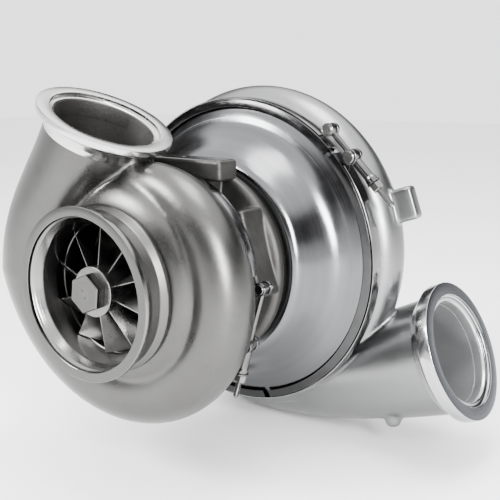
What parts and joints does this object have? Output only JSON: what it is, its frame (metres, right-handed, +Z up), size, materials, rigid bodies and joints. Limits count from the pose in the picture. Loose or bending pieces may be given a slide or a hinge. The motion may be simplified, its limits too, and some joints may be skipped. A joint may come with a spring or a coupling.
{
  "type": "turbocharger",
  "caption": "Turbocharger with a lipped-flange turbine housing, oil-fed centre housing, V-band clamps and a compressor cover with a side outlet pipe.",
  "frame": {"origin": "on the shaft axis at the middle of the centre housing", "axes": "+Y along the shaft out of the compressor inlet, -Y out of the turbine outlet, +Z up through the oil inlet pad, +X towards the compressor outlet pipe"},
  "size_m": [0.4021, 0.3299, 0.3378],
  "materials": {
    "turbine_housing_cast": "bead-blasted cast stainless steel, machined flange faces",
    "turbine_alloy": "cast nickel alloy, darkened",
    "shaft_steel": "ground",
    "sheet_steel": "pressed sheet",
    "seal_ring_steel": "ground",
    "centre_cast_iron": "rough cast with machined pads",
    "bearing_steel": "ground",
    "ball_steel": "polished",
    "polished_aluminium": "turned and polished",
    "seal_rubber": "moulded",
    "machined_aluminium": "milled",
    "bright_steel": "machined",
    "cover_cast_aluminium": "satin cast, machined flange faces",
    "clamp_polished_steel": "polished stainless strip",
    "clamp_brushed_steel": "stainless strip",
    "fastener_steel": "plated"
  },
  "bodies": {
    "housing": {"turbine_housing": "turbine_housing_cast", "turbine_heat_shield": "sheet_steel", "turbine_seal_ring": "seal_ring_steel", "centre_housing": "centre_cast_iron", "bearing_cartridge": "bearing_steel", "bearing_retainer_ring": "sheet_steel", "compressor_seal_ring": "seal_ring_steel", "backplate": "polished_aluminium", "cover_seal": "seal_rubber", "compressor_cover": "cover_cast_aluminium", "compressor_clamp_retainer_1": "clamp_polished_steel", "compressor_clamp_retainer_2": "clamp_polished_steel", "compressor_clamp_retainer_3": "clamp_polished_steel", "compressor_clamp_strap": "clamp_polished_steel", "compressor_clamp_t_bolt": "fastener_steel", "compressor_clamp_trunnion": "fastener_steel", "compressor_clamp_sleeve": "fastener_steel", "compressor_clamp_washer": "fastener_steel", "compressor_clamp_nut": "fastener_steel", "turbine_clamp_retainer_1": "clamp_brushed_steel", "turbine_clamp_retainer_2": "clamp_brushed_steel", "turbine_clamp_strap": "clamp_brushed_steel", "turbine_clamp_t_bolt": "fastener_steel", "turbine_clamp_trunnion": "fastener_steel", "turbine_clamp_sleeve": "fastener_steel", "turbine_clamp_washer": "fastener_steel", "turbine_clamp_nut": "fastener_steel"},
    "rotor": {"turbine_wheel": "turbine_alloy", "rotor_shaft": "shaft_steel", "turbine_side_inner_race": "bearing_steel", "compressor_side_inner_race": "bearing_steel", "inner_race_spacer": "bearing_steel", "oil_flinger": "shaft_steel", "compressor_wheel": "machined_aluminium", "compressor_wheel_nut": "bright_steel"},
    "turbine_side_balls": {"turbine_side_ball_set": "ball_steel"},
    "compressor_side_balls": {"compressor_side_ball_set": "ball_steel"}
  },
  "joints": [
    {"name": "rotor_spin", "type": "hinge", "parent": "housing", "child": "rotor", "pos_m": [0, 0, 0], "axis": [0, 1, 0], "continuous": true},
    {"name": "turbine_side_balls_spin", "type": "hinge", "parent": "housing", "child": "turbine_side_balls", "pos_m": [0, -0.016, 0], "axis": [0, 1, 0], "continuous": true},
    {"name": "compressor_side_balls_spin", "type": "hinge", "parent": "housing", "child": "compressor_side_balls", "pos_m": [0, 0.016, 0], "axis": [0, 1, 0], "continuous": true}
  ],
  "couplings": [
    {"joint": "turbine_side_balls_spin", "follows": "rotor_spin", "ratio": 0.371},
    {"joint": "compressor_side_balls_spin", "follows": "rotor_spin", "ratio": 0.371}
  ]
}
